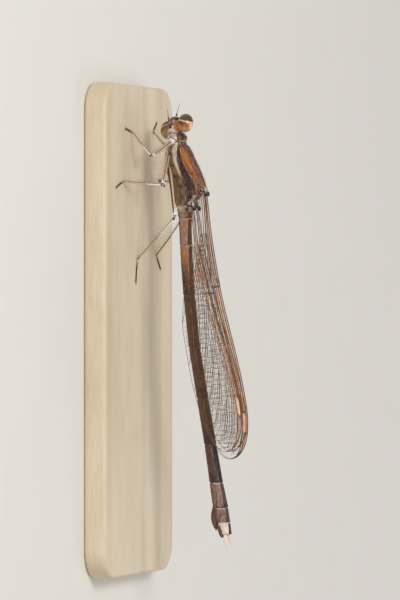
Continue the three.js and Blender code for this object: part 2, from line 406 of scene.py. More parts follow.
# Camera: the view is turned with the insect, so that its head is at the top of the picture

view = {
    "target": (-2.57, 0, 7.37),
    "elevation": 17,
    "pictureHeight": 51.37,
    "lens": 300,
    "sensor": 36,
}


def standing(right, up, back, place):
    matrix = np.eye(4)
    matrix[:3, :4] = np.stack([right, up, back, place], 1)
    return Matrix(matrix.tolist())


def addCamera():
    a = math.radians(view["elevation"])
    right = np.array((0, math.sin(a), math.cos(a)))
    up = np.array((-1, 0, 0))
    back = np.array((0, -math.cos(a), math.sin(a)))
    away = view["pictureHeight"] * view["lens"] / view["sensor"]
    data = bpy.data.cameras.new("camera")
    data.lens = view["lens"]
    data.sensor_width = view["sensor"]
    camera = bpy.data.objects.new("camera", data)
    place = (np.array(view["target"]) + back * away) * mm
    camera.matrix_world = standing(right, up, back, place)
    scene.collection.objects.link(camera)
    scene.camera = camera


addCamera()

# Floor and light

studio = {
    "floor": rgb(236, 233, 227),
    "reach": 3000,                              # from the middle of the floor to its edge, in millimetres
    "air": rgb(242, 240, 236),
    "airStrength": 0.5,
    "key": ((-120, -190, 260), 110, 0.56),     # place and size in millimetres, power in watts
    "fill": ((60, -300, 90), 220, 0.13),
    "rim": ((120, 240, 200), 160, 0.16),
}


def addStudio():
    material, tree, shader = newMaterial("paleFloor")
    speckle = noiseOf(tree, 6, 3)
    tone = [c * 0.96 for c in studio["floor"][:3]] + [1]
    tree.links.new(mixOf(tree, speckle, tone, studio["floor"]), shader.inputs["Base Color"])
    shader.inputs["Roughness"].default_value = 0.8
    reach = studio["reach"]
    corners = [(-reach, -reach, 0), (reach, -reach, 0), (reach, reach, 0), (-reach, reach, 0)]
    addMesh("floor", corners, [(0, 1, 2, 3)], material)
    world = bpy.data.worlds.new("studioAir")
    world.use_nodes = True
    air = world.node_tree.nodes["Background"].inputs
    air["Color"].default_value = studio["air"]
    air["Strength"].default_value = studio["airStrength"]
    scene.world = world
    for name in ("key", "fill", "rim"):
        place, size, power = studio[name]
        data = bpy.data.lights.new(name, "AREA")
        data.size = size * mm
        data.energy = power
        lamp = bpy.data.objects.new(name, data)
        back = unit(np.array(place) - np.array(view["target"]))
        right = unit(np.cross((0, 0, 1), back))
        lamp.matrix_world = standing(right, np.cross(back, right), back, np.array(place) * mm)
        scene.collection.objects.link(lamp)


addStudio()
print("camera, floor and light ready")

# Shell: how the body runs, read from the CAD rings

def bodyTable(nodes):
    # x, middle height, half width and half height of each CAD ring
    rows = {}
    for point in nodePoints(*nodes):
        rows.setdefault(round(point[0], 1), []).append(point)
    table = []
    for _, ring in sorted(rows.items()):
        low, high = np.min(ring, 0), np.max(ring, 0)
        if high[1] - low[1] > 0.2:
            table.append((np.mean(ring, 0)[0], (low[2] + high[2]) / 2, *(high - low)[1:] / 2))
    return np.array(table)


def bodyAt(table, x, soft=13):
    # middle height, half width and half height at x, smoothed along the body
    fine = np.linspace(table[0, 0], table[-1, 0], 500)
    weight = np.hanning(2 * soft + 3)[1:-1]
    columns = []
    for k in (1, 2, 3):
        padded = np.pad(np.interp(fine, table[:, 0], table[:, k]), soft, mode="edge")
        columns.append(np.interp(x, fine, np.convolve(padded, weight / weight.sum(), mode="valid")))
    return columns


def bodyRings(table, x, turn, grow):
    # turn: angle from the back's midline, over the left side. grow: outward step of each point
    height, wide, high = (column[:, None] for column in bodyAt(table, x))
    across = -(wide + grow) * np.sin(turn)
    lift = height + (high + grow) * np.cos(turn)
    return np.stack([np.broadcast_to(x[:, None], across.shape), across, lift], 2)


def fromBack(turn):
    # degrees from the back's midline, alike on both sides
    return np.degrees(np.abs((turn + math.pi) % (2 * math.pi) - math.pi))


def bodyGrid(node, rings, around):
    # a body part's CAD rings, its length in shares and in x, and the angles round it
    table = bodyTable([node])
    share = np.linspace(0, 1, rings)[:, None]
    turn = np.linspace(0, 2 * math.pi, around, endpoint=False)
    xs = table[0, 0] + share[:, 0] * (table[-1, 0] - table[0, 0])
    return table, share, xs, turn, fromBack(turn)[None]


# Abdomen: ten rings of shell in one skin

abdomen = {
    "inset": 0.03,
    "rings": 22,                        # rings of points along each segment
    "around": 72,
    "joint": 0.075, "lip": 0.022,       # how far each segment's start draws in and its end flares
    "keel": 0.018, "fold": 0.045,       # ridge along the back, and creases along the belly
    "backEdge": [50, 50, 54, 60, 62, 62, 62, 44, 38, 34],       # degrees of dark back on each segment
    "sideTone": [0.3, 0.1, 0.62, 0.97, 1, 1, 1, 0.9, 0.75, 0],  # 0 orange tan, 1 dark purple brown
    "ringTone": [1, 0.8, 0.6, 0.12, 0.12, 0.15, 0.5, 0.8, 0.8, 0.7],
    "grain": 0.16, "stretch": (2.5, 1, 1), "bumpSize": 0.06, "bump": 0.5,
    "rough": (0.3, 0.52), "coat": 0.12, "mottle": 0.6,
    "ground": rgb(206, 144, 98), "shade": rgb(156, 94, 56),
    "darkSide": rgb(60, 30, 38), "greyPink": rgb(172, 142, 130), "grey": rgb(156, 124, 112),
    "belly": rgb(78, 52, 38), "tail": rgb(244, 222, 208),
    "back": rgb(22, 9, 13), "line": rgb(190, 148, 118),
    "sheen": rgb(92, 58, 68), "ring": rgb(222, 196, 162),
    "layers": {"darkSide": 0, "greyPink": 0.7, "grey": 1.3, "belly": 0.3, "tail": 0.3, "back": 0.35,
               "line": 0.9, "sheen": 0.8, "ring": 0.6},
}


def abdomenSkin():
    names = [f"abdomen_{i}" for i in range(1, 11)]
    table = bodyTable(names)
    starts = [boxOf(name)[0][0] for name in names]
    ends = starts[1:] + [boxOf(names[-1])[1][0]]
    turn = np.linspace(0, 2 * math.pi, abdomen["around"], endpoint=False)
    angle = fromBack(turn)[None]
    rows = []
    for i, (start, end) in enumerate(zip(starts, ends)):
        t = 0.5 - 0.5 * np.cos(np.linspace(0, math.pi, abdomen["rings"]))
        t = t if end == ends[-1] else t[:-1]
        run = t * (end - start)
        rows.append(np.stack([start + run, t, run, end - start - run, np.full(len(t), i)]))
    # t is the share of the segment, run and left the millimetres behind and ahead in it
    xs, t, run, left, segment = np.concatenate(rows, 1)
    xs = np.maximum.accumulate(xs + np.arange(len(xs)) * 1e-5)
    t, run, left, segment = t[:, None], run[:, None], left[:, None], segment[:, None].astype(int)
    backEdge, sideTone, ringTone = (
        np.array(abdomen[key])[segment] for key in ("backEdge", "sideTone", "ringTone"))
    depth = abdomen["lip"] * bell(left, 0, 0.2) - abdomen["joint"] * bell(run, 0, 0.09)
    depth = depth - 0.02 * bell(run, 0.34, 0.05) - 0.05 * bell(left, 0, 0.025)
    keel = abdomen["keel"] * bell(angle, 0, 7) - abdomen["fold"] * bell(angle, 148, 7)
    keel = keel - 0.012 * bell(angle, 96, 4)
    edge = backEdge + 10 * ease(t, 0.55, 0.95) - 12 * bell(t, 0.03, 0.05)
    rims = np.maximum(bell(run, 0.1, 0.06) * ease(angle, 24, 50) * (1 - ease(angle, 100, 125)),
                      0.7 * bell(left, 0, 0.03))
    grey = (segment == 7) | (segment == 8)
    masks = {
        "darkSide": sideTone + 0.25 * (ease(t, 0.6, 1) - 0.5) * (segment < 8)
        + 0.84 * (segment == 2) * (ease(t, 0.1, 0.75) - 0.5),
        "greyPink": (segment < 2) * ease(angle, 78, 88),
        "back": (1 - ease(angle, edge - 3, edge + 3)) * (1 - 0.45 * grey) * (run > 0.06),
        "line": bell(angle, edge + 8, 4) * band(run, 0.2, 99, 0.15) * (segment < 7) * 0.75
        * (1 - (segment > 3) * ease(t, 0.28, 0.5)),
        "sheen": bell(angle, edge - 24, 6) * band(run, 0.2, 99, 0.15) * 0.55,
        "ring": rims * ringTone * (segment > 0) + bell(run, 0.08, 0.1) * (segment == 0),
        "belly": ease(angle, 128, 140),
        "grey": grey * (0.42 + 0.16 * bell(angle, 80, 26)),
        "tail": (segment == 9) * (1 - ease(angle, 120, 132)),
    }
    rings = bodyRings(table, xs, turn, depth + keel - abdomen["inset"])
    keep(addLoft("abdomenSkin", rings, shellMaterial("abdomenShell", abdomen), masks), "cuticle", *names)
    return table


abdomenTable = abdomenSkin()
print("abdomen made")

# Thorax: the striped shell that carries wings and legs

thorax = {
    "inset": 0.04,
    "rings": 120,
    "around": 120,
    "stations": [0.04, 0.27, 0.565, 1.0],   # shares of the length where the stripes' edges are given
    "orangeTop": [49, 33, 22, 15],          # degrees from the back's midline
    "orangeFoot": [65, 70, 57, 45],
    "creamTop": [80, 92, 87, 80],
    "creamFoot": [106, 107, 95, 86],
    "crest": 0.66,                          # where the back drops between the wing roots
    "drop": 0.13,
    "collar": 0.12,                         # depth of the groove behind the shield
    "seam": 0.045,                          # depth of the seams between the side plates
    "grain": 0.17, "stretch": (2.4, 1, 1), "bumpSize": 0.06, "bump": 0.8,
    "rough": (0.34, 0.56), "coat": 0.08, "mottle": 0.5, "specular": 0.35,
    "ground": rgb(118, 76, 66), "shade": rgb(72, 42, 36),
    "orange": rgb(176, 96, 30), "glow": rgb(232, 128, 20), "tan": rgb(196, 136, 94),
    "streak": rgb(62, 32, 22), "side": rgb(142, 112, 84), "patch": rgb(76, 52, 38),
    "dark": rgb(62, 32, 22), "cream": rgb(226, 208, 186), "line": rgb(208, 162, 112),
    "belly": rgb(186, 160, 144), "suture": rgb(34, 18, 14), "white": rgb(228, 206, 198),
    "layers": {"orange": 0.6, "glow": 0.8, "tan": 0.9, "streak": 1.3, "side": 0.5, "patch": 1.3,
               "dark": 0.5, "cream": 1.0, "line": 0.7, "belly": 0.4, "suture": 0.2, "white": 1.3},
}


def thoraxShell():
    table, share, xs, turn, degrees = bodyGrid("thorax", thorax["rings"], thorax["around"])
    orangeTop, orangeFoot, creamTop, creamFoot = (
        np.interp(share, thorax["stations"], thorax[edge])
        for edge in ("orangeTop", "orangeFoot", "creamTop", "creamFoot"))
    crest, midSeam = thorax["crest"], creamTop + 6
    hinge, lower = (orangeFoot + creamTop) / 2 + 2, creamFoot + 20
    ridge = 0.035 * bell(degrees, 0, 3) * (1 - ease(share, 0.55, 0.66)) - 0.02 * bell(degrees, 7, 4)
    seams = thorax["seam"] * bell(degrees, hinge, 2.2) + 0.04 * bell(degrees, lower, 2.4)
    seams = seams + 0.03 * bell(degrees, midSeam, 2) * ease(share, 0.45, 0.6)
    back = thorax["drop"] * ease(share, crest, crest + 0.07) * (1 - ease(degrees, 34, 60))
    back = back - 0.03 * bell(share, crest, 0.02) * (1 - ease(degrees, 40, 60))
    swell = 0.03 * bell(degrees, (orangeTop + orangeFoot) / 2, 14)
    under = 0.1 * bell(degrees, 180, 16) * ease(share, 0.15, 0.3)
    collar = thorax["collar"] * bell(share, 0.035, 0.018)
    grow = ridge + swell - under - seams - back - collar - thorax["inset"]
    stripe = band(degrees, orangeTop, orangeFoot, 2.5)
    white = 0.66 * ease(share, 0.74, 0.8) * bell(degrees, 52, 16) + bell(share, 0.99, 0.05)
    white = white + 0.45 * bell(share, 0.02, 0.02) + bell(share, 0.1, 0.08) * bell(degrees, 94, 8)
    masks = {
        "orange": stripe * ease(share, 0, 0.14) * (1 - ease(share, 0.72, 0.8)),
        "glow": bell(degrees, orangeTop * 0.42 + orangeFoot * 0.58, 8) * band(share, 0.12, 0.5, 0.1),
        "streak": band(degrees, orangeTop, orangeFoot, 3) * (0.35 + 0.3 * share),
        "tan": stripe * ease(share, 0.42, 0.62),
        "side": ease(degrees, creamFoot - 3, creamFoot + 3),
        "patch": bell(degrees, creamFoot + 12, 12) * (0.5 + 0.3 * np.sin(share * 40)),
        "dark": band(degrees, orangeFoot + 3, creamTop, 2.5),
        "cream": band(degrees, creamTop, creamFoot, 2.5) * (1 - 0.6 * ease(share, 0.2, 0.62)),
        "line": bell(degrees, orangeFoot + 1.5, 2.2) * (0.85 - 0.4 * share) * (1 - ease(share, 0.78, 0.84)),
        "belly": ease(degrees, 150, 162),
        "suture": bell(degrees, hinge, 1.6) * 0.8 + bell(degrees, lower, 1.6) + bell(degrees, 0, 1.5)
        + bell(degrees, midSeam, 1.5) * ease(share, 0.5, 0.6),
        "white": np.clip(white, 0, 1) * 0.8,
    }
    rings = bodyRings(table, xs, turn, grow)
    shell = addLoft("thoraxShell", rings, shellMaterial("thoraxShell", thorax), masks)
    keep(shell, "cuticle", "thorax")
    return table


thoraxTable = thoraxShell()
print("thorax made")

# Prothorax: the small shield behind the head, in three lobes

prothorax = {
    "inset": 0.1,
    "rings": 56,
    "around": 72,
    "lobes": (0.08, 0.12, 0.1),         # heights of the front, middle and rear lobe
    "grain": 0.12, "bumpSize": 0.06, "bump": 0.8, "rough": (0.34, 0.56), "coat": 0.08, "mottle": 0.5,
    "ground": rgb(142, 94, 68), "shade": rgb(78, 46, 36),
    "shield": rgb(52, 36, 28), "edge": rgb(204, 172, 150),
    "belly": rgb(230, 208, 198),
    "layers": {"shield": 0.4, "edge": 0.5, "belly": 0.4},
}


def prothoraxShell():
    table, share, xs, turn, degrees = bodyGrid("prothorax", prothorax["rings"], prothorax["around"])
    front, middle, rear = prothorax["lobes"]
    humps = middle * bell(share, 0.52, 0.26) * (0.5 + 0.5 * bell(degrees, 40, 22))
    collar = rear * bell(share, 0.93, 0.06) * (0.6 + 0.4 * bell(degrees, 0, 40))
    lobes = front * bell(share, 0.1, 0.07) + humps + collar
    notch = 0.05 * bell(degrees, 0, 5) * bell(share, 0.5, 0.2)
    grow = lobes * (1 - ease(degrees, 75, 100)) - notch - prothorax["inset"]
    plate = band(share, 0.2, 0.8, 0.05) * (1 - ease(degrees, 52, 62))
    rims = bell(share, 0.94, 0.05) + bell(share, 0.08, 0.05)
    masks = {
        "shield": plate * (1 - 0.8 * bell(degrees, 0, 5)),
        "edge": np.clip(rims, 0, 1) * (1 - ease(degrees, 70, 90)),
        "belly": ease(degrees, 92, 108),
    }
    shell = shellMaterial("prothoraxShell", prothorax)
    keep(addLoft("prothoraxShell", bodyRings(table, xs, turn, grow), shell, masks), "cuticle", "prothorax")
    return table


prothoraxTable = prothoraxShell()

# Head, worked out round its own middle: face to -X, eyes to the sides, crown to +Z

head = {
    "bow": 89,              # degrees that the face is bent down
    "roll": 50,             # degrees that the left eye is raised
    "turn": 18,             # degrees about the upright axis, towards the insect's left
    "eyeRadii": (0.67, 0.65, 0.81),
    "groove": 0.05,         # depth of the grooves between the plates of the face
    "grain": 0.12, "bumpSize": 0.04, "bump": 0.6, "rough": (0.22, 0.42), "coat": 0.3, "mottle": 0.5,
    # pink is the paler sides of the frons, and also a painted highlight on the middle of the face
    "ground": rgb(140, 96, 98), "shade": rgb(80, 46, 50), "pink": rgb(226, 184, 172),
    "yellow": rgb(204, 138, 68), "pale": rgb(234, 212, 196), "crown": rgb(104, 66, 58),
    "nape": rgb(176, 144, 116), "spot": rgb(22, 10, 8),
    "layers": {"pink": 0.5, "yellow": 0.5, "pale": 0.5, "crown": 0.5, "nape": 0.4, "spot": 0.2},
}
mouth = {
    "grain": 0.1, "bumpSize": 0.04, "bump": 0.4, "rough": (0.3, 0.5), "coat": 0.3, "mottle": 0.6,
    "ground": rgb(232, 214, 200), "shade": rgb(186, 156, 146), "grey": rgb(142, 120, 128),
    "spot": rgb(40, 22, 18), "tip": rgb(178, 146, 136),
    "layers": {"grey": 0.5, "spot": 0.2, "tip": 0.4},
}
eyeLook = {
    "grain": 0.12, "bumpSize": 0.034, "bump": 0.5, "rough": (0.14, 0.22), "coat": 0.4,
    "ground": rgb(196, 158, 112), "shade": rgb(150, 112, 74), "amber": rgb(176, 84, 14),
    "maroon": rgb(70, 10, 3), "rim": rgb(240, 190, 160), "cap": rgb(108, 78, 44),
    # line is a painted highlight: a pale stripe across the eye where the light glints
    "capBand": rgb(58, 38, 24), "line": rgb(240, 200, 170),
    "layers": {"amber": 0, "maroon": 0, "rim": 0.5, "cap": 0.35, "capBand": 0.6, "line": 0.35},
}
feeler = {
    "grain": 0.08, "bumpSize": 0.03, "bump": 0.3, "rough": (0.35, 0.5),
    "ground": rgb(92, 66, 52), "shade": rgb(60, 40, 32), "pale": rgb(206, 176, 150),
    "layers": {"pale": 0.3},
}
simpleEye = {
    "radii": (0.085, 0.085, 0.075),
    "places": {"middle": (-0.34, 0, 0.66), "left": (-0.1, -0.2, 0.7), "right": (-0.1, 0.2, 0.7)},
    "grain": 0.1, "bumpSize": 0.05, "bump": 0.05, "rough": (0.08, 0.12), "coat": 0.8,
    "ground": rgb(190, 140, 90), "shade": rgb(150, 96, 52),
}
neck = {
    "radius": 0.27,
    "grain": 0.1, "bumpSize": 0.06, "bump": 0.5, "rough": (0.45, 0.6),
    "ground": rgb(214, 190, 168), "shade": rgb(170, 140, 118),
}


def headTurn():
    angles = [math.radians(-head[key]) for key in ("bow", "roll", "turn")]
    (a, b), (c, d), (e, f) = [(math.cos(angle), math.sin(angle)) for angle in angles]
    bowed = np.array([[a, 0, b], [0, 1, 0], [-b, 0, a]])
    rolled = np.array([[1, 0, 0], [0, c, -d], [0, d, c]])
    turned = np.array([[e, -f, 0], [f, e, 0], [0, 0, 1]])
    return turned @ rolled @ bowed


headWay = headTurn()
headPlace = (middleOf("eye_left") + middleOf("eye_right")) / 2


def inHead(points):
    return headPlace + np.asarray(points, float) @ headWay.T


def near(points, place, width):
    # 1 at the place, fading over this width
    return bell(np.linalg.norm(points - np.array(place), axis=1), 0, width)


def headCapsule():
    def masks(p):
        x, y, z = p.T
        y = np.abs(y)
        folded = np.stack([x, y, z], 1)
        front = 1 - ease(x, -0.3, -0.12)
        spots = 2 * near(folded, (-0.76, 0.17, -0.29), 0.14) + 1.8 * near(p, (-0.52, 0, 0.7), 0.13)
        return {
            "crown": ease(z, 0.56, 0.66) * (1 - 0.8 * near(folded, (-0.05, 0.42, 0.66), 0.12)),
            # pink: the paler sides of the frons, and a painted highlight spot on the middle of the face
            "pink": front * (near(folded, (-0.66, 0.44, 0.2), 0.14) + near(p, (-0.74, -0.1, 0.05), 0.12)),
            "pale": front * (1 - ease(z, -0.2, -0.08)) * (1 - ease(y, 0.4, 0.55)),
            "yellow": (1 - ease(z, 0.2, 0.42)) * ease(y, 0.34, 0.5) * (1 - ease(x, 0.1, 0.2)),
            "nape": ease(x, 0.2, 0.3),
            "spot": np.clip(spots + 0.7 * bell(z, -0.12, 0.025) * front * (y < 0.42), 0, 1),
        }

    def dents(p):
        x, y, z = p.T
        front = 1 - ease(x, -0.35, -0.15)
        face = bell(z, -0.13, 0.035) + bell(z, 0.42, 0.05) + 0.8 * bell(z, -0.42, 0.03)
        cheek = bell(np.abs(y), 0.5, 0.04) * (1 - ease(z, 0.3, 0.5))
        crown = bell(y, 0, 0.05) * ease(z, 0.55, 0.65)
        lines = head["groove"] * ((face + cheek) * front + crown)
        return lines + 0.06 * bell(x, 0.35, 0.1) * bell(y, 0, 0.3)

    lumps = [
        ((0, 0, 0.06), (0.46, 1.34, 0.54)),
        ((-0.1, 0, 0.36), (0.46, 0.66, 0.36)),
        ((-0.34, 0, 0.26), (0.42, 0.6, 0.44)),
        ((-0.34, 0, 0.36), (0.34, 0.5, 0.38)),
        ((-0.5, 0, 0.02), (0.3, 0.5, 0.26)),
        ((-0.46, 0, -0.32), (0.36, 0.52, 0.3)),
        ((-0.26, -0.5, -0.2), (0.38, 0.28, 0.42)),
        ((-0.26, 0.5, -0.2), (0.38, 0.28, 0.42)),
        ((0.16, 0, 0.1), (0.36, 0.86, 0.44)),
    ]
    shell = shellMaterial("headShell", head)
    keep(addBlob("headShell", lumps, shell, masks, headPlace, headWay, 6, 14, dents), "cuticle", "head")


def mouthPieces():
    shell = shellMaterial("mouthShell", mouth)

    def masks(p):
        return {
            "spot": near(p, (-0.25, 0, 0.1), 0.06),
            "tip": 1 - ease(p[:, 2], -0.2, -0.12),
            "grey": ease(p[:, 1], 0.05, 0.2),
        }

    # name, place in the head, then its lumps
    parts = [
        ("upperLip", (-0.54, 0, -0.56),
         [((0, 0, 0), (0.24, 0.36, 0.18)), ((0, 0, -0.1), (0.2, 0.28, 0.15))]),
    ]
    for side, way in sides.items():
        parts += [
            (f"jaw_{side}", (-0.36, way * 0.36, -0.6),
             [((0, 0, 0), (0.28, 0.16, 0.26)), ((-0.08, -way * 0.05, -0.14), (0.2, 0.12, 0.16))]),
            (f"palp_{side}", (-0.3, way * 0.18, -0.86),
             [((0, 0, 0), (0.26, 0.18, 0.17)), ((-0.14, 0, -0.02), (0.15, 0.11, 0.11))]),
        ]
    parts.append((
        "lowerLip", (-0.16, 0, -0.64),
        [((0, 0, 0), (0.3, 0.3, 0.26)), ((0.1, 0, 0.12), (0.28, 0.24, 0.28))]))
    for name, place, lumps in parts:
        detail = 5 if name == "upperLip" else 4
        piece = addBlob(name, lumps, shell, masks, inHead(place), headWay, detail)
        keep(piece, "pale_cuticle", *(["mouthparts"] if name == "upperLip" else []))


def eyePieces():
    # the colours lie in soft bands and blots: rise runs up the eye, and reach runs round it from the face
    material = shellMaterial("eyeFacets", eyeLook)
    tree, shader = material.node_tree, material.node_tree.nodes["Principled BSDF"]
    place = addNode(tree, "ShaderNodeTexCoord").outputs["Object"]
    size = eyeLook["bumpSize"]
    cells = addNode(tree, "ShaderNodeTexVoronoi", {"Vector": place, "Scale": 1 / (size * mm)})
    addBump(tree, shader, cells.outputs["Distance"], eyeLook["bump"], 0.3 * size, invert=True)
    for side, way in sides.items():
        def masks(p):
            x, y, z = p.T
            reach = 0.82 * x + 0.56 * way * y + 0.1 * z
            rise = -0.25 * x + 0.2 * way * y + 0.947 * z + 0.22 * reach - 0.12 * reach * reach + 0.12
            amber = bell(np.hypot((reach + 0.08) / 0.4, (rise + 0.04) / 0.22), 0, 1)
            return {
                "amber": np.minimum(1, 1.5 * amber),
                "maroon": bell(np.hypot((reach + 0.42) / 0.34, (rise - 0.02) / 0.22), 0, 1),
                "rim": ease(reach, 0.2, 0.42) * (1 - ease(rise, 0.2, 0.26)) * ease(rise, -0.45, -0.2),
                "cap": ease(rise, 0.26, 0.32),
                "capBand": 0.9 * (bell(rise, 0.42, 0.05) + bell(rise, 0.6, 0.05)),
                # line: a painted highlight stripe across the eye
                "line": bell(rise, 0.225, 0.055),
            }
        place, lumps = middleOf(f"eye_{side}"), [((0, 0, 0), head["eyeRadii"])]
        keep(addBlob(f"eye_{side}_facets", lumps, material, masks, place, headWay, 6), "eye", f"eye_{side}")


def feelersAndSimpleEyes():
    brown = shellMaterial("feelerShell", feeler)
    share = np.linspace(0, 1, 48)
    radii = 0.1 * band(share, -1, 0.15, 0.02) + 0.035 * band(share, 0.17, 0.36, 0.02)
    radii = radii + 0.036 - 0.024 * share
    pale = bell(share, 0.16, 0.03) + bell(share, 0.37, 0.03)
    for side, way in sides.items():
        points = inHead([(-0.42, way * 0.5, 0.46), (-0.53, way * 0.62, 0.66), (-0.56, way * 0.7, 0.98),
                         (-0.58, way * 0.98, 1.72)])
        keep(addTube(f"feeler_{side}", points, radii, brown, {"pale": pale}, 12, 1, headWay[:, 1]), "leg",
             f"antenna_{side}")
    glass = shellMaterial("simpleEye", simpleEye)
    for name, place in simpleEye["places"].items():
        lumps = [((0, 0, 0), simpleEye["radii"])]
        keep(addBlob(f"simpleEye_{name}", lumps, glass, None, inHead(place), headWay, 4), "eye")


def neckSkin():
    start = inHead((0.2, 0, -0.05))
    end = np.array((prothoraxTable[0, 0] + 0.12, 0, prothoraxTable[0, 1]))
    share = np.linspace(0, 1, 40)
    radii = neck["radius"] + 0.05 * share + 0.014 * np.sin(share * 34)
    skin, points = shellMaterial("neckSkin", neck), [start, (start + end) / 2, end]
    keep(addTube("neckSkin", points, radii, skin, around=28), "pale_cuticle", "neck")


headCapsule()
mouthPieces()
eyePieces()
feelersAndSimpleEyes()
neckSkin()
print("head made")

# Legs: hip joints, thighs, shins and feet at their real thickness, on the CAD limbs' middle lines

legLook = {
    "coxaRadius": {"front": 0.58, "middle": 0.3, "hind": 0.3},
    "thigh": (0.165, 0.13),         # radius at its start and end, in millimetres
    "shin": (0.085, 0.07),
    "foot": (0.062, 0.05),
    "around": 20,
    # the dark stripe of each thigh; on the hind thighs it is so wide that it is partly painted shade
    "stripeWidth": {"front": 0.26, "middle": 0.3, "hind": 0.75},
    "grain": 0.1, "bumpSize": 0.04, "bump": 0.35, "rough": (0.35, 0.55), "coat": 0.15,
    # pink is the pale hips and knees, made near white so that it is partly a painted highlight on the front
    # hips
    "ground": rgb(216, 190, 160), "shade": rgb(184, 152, 122), "pink": rgb(250, 238, 232),
    "stripe": rgb(74, 44, 30), "dark": rgb(52, 32, 24),
    "layers": {"pink": 0.3, "stripe": 0.3, "dark": 0.3},
}
spine = {
    "lengths": {"thigh": 0.42, "shin": 0.62, "foot": 0.14},
    "spacing": 0.34,
    "footPairs": 10,
    "radius": 0.011,
    "bend": 0.25,
    "clawLength": 0.24, "clawRadius": 0.028,
    "grain": 0.1, "bumpSize": 0.03, "bump": 0.1, "rough": (0.35, 0.45),
    "ground": rgb(46, 30, 24), "shade": rgb(28, 18, 14),
}
legShell = shellMaterial("legShell", legLook)
spineHorn = shellMaterial("bristleHorn", spine)


def limbEnds(node):
    # both ends of a CAD limb's middle line
    points = nodePoints(node)
    middle = points.mean(0)
    way = np.linalg.svd(points - middle)[2][0]
    reach = (points - middle) @ way
    return [middle + way * reach.min(), middle + way * reach.max()]


def nearestEnds(first, second):
    pairs = [(np.linalg.norm(a - b), i, j) for i, a in enumerate(first) for j, b in enumerate(second)]
    return min(pairs)[1:]


def legJoints(name):
    thigh, shin, foot = (limbEnds(f"leg_{name}_{part}") for part in ("femur", "tibia", "tarsus"))
    i, j = nearestEnds(thigh, shin)
    k, m = nearestEnds(shin, foot)
    return thigh[1 - i], (thigh[i] + shin[j]) / 2, (shin[k] + foot[m]) / 2, foot[1 - m]


def spineRows(start, end, inner, plane, part, mapStart):
    # two rows of spines along the inner edge of a limb, leaning towards its far end
    along = unit(end - start)
    radius, length = legLook[part][1], spine["lengths"][part]
    roots = []
    count = max(3, round(np.linalg.norm(end - start) / spine["spacing"]))
    for row in (-1, 1):
        way = unit(inner * 0.8 + plane * row * 0.55 + along * 0.5)
        for i in range(count):
            share = (i + 0.6 + 0.2 * row) / (count + 0.4)
            place = start + (end - start) * share + unit(inner + plane * row * 0.6) * radius * 0.9
            size = length * (0.75 + 0.35 * math.sin(math.pi * share))
            roots.append((place, way, along, size, (mapStart[0] + 0.03 * row, mapStart[1] + 0.09 * share)))
    return roots


def taper(part, t):
    start, end = legLook[part]
    return start + (end - start) * t


